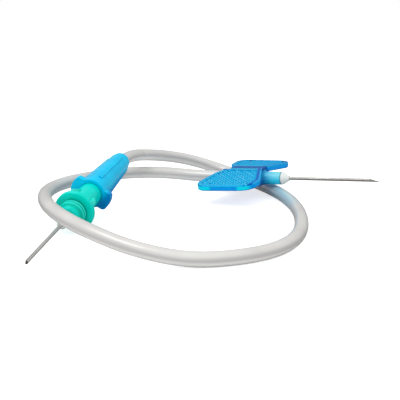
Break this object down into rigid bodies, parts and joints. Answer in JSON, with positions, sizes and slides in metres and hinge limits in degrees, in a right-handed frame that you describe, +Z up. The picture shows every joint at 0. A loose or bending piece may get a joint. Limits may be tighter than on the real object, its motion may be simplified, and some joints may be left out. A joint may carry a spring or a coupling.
{
  "type": "winged blood collection set",
  "caption": "Winged needle on a translucent sleeve with knurled folding wings, joined by a frosted tube to a luer adapter with a stopper needle.",
  "frame": {"origin": "on the table, under the middle of everything but the tube", "axes": "+X the way the patient needle points as seen from above, +Y away from the luer end's needle, +Z up from the table"},
  "size_m": [0.0593, 0.0737, 0.0098],
  "materials": {
    "needle_steel": "polished drawn stainless steel",
    "offwhite_plastic": "satin moulded",
    "sleeve_blue": "translucent soft moulding",
    "wing_blue": "translucent soft moulding with a knurled face",
    "tube_clear": "frosted flexible tube",
    "luer_blue": "translucent moulded",
    "adapter_green": "translucent moulded"
  },
  "bodies": {
    "set": {"front_cannula": "needle_steel", "front_hub": "offwhite_plastic", "wing_sleeve": "sleeve_blue", "tube": "tube_clear", "female_luer": "luer_blue"},
    "front_wing": {"wing_front": "wing_blue"},
    "rear_wing": {"wing_rear": "wing_blue"},
    "adapter": {"luer_adapter": "adapter_green", "needle_collar": "offwhite_plastic", "rear_cannula": "needle_steel"}
  },
  "joints": [
    {"name": "front_wing_fold", "type": "hinge", "parent": "set", "child": "front_wing", "pos_m": [-0.00235, 0.02266, 0.00598], "axis": [-0.9979, 0, -0.0645], "range_deg": [0, 90], "stiffness_Nm_per_rad": 0.0005},
    {"name": "rear_wing_fold", "type": "hinge", "parent": "set", "child": "rear_wing", "pos_m": [-0.00236, 0.02565, 0.0061], "axis": [0.9979, 0, 0.0645], "range_deg": [0, 90], "stiffness_Nm_per_rad": 0.0005},
    {"name": "adapter_twist", "type": "hinge", "parent": "set", "child": "adapter", "pos_m": [-0.02078, -0.00794, 0.00513], "axis": [-0.1984, 0.9668, 0.1613], "continuous": true}
  ]
}
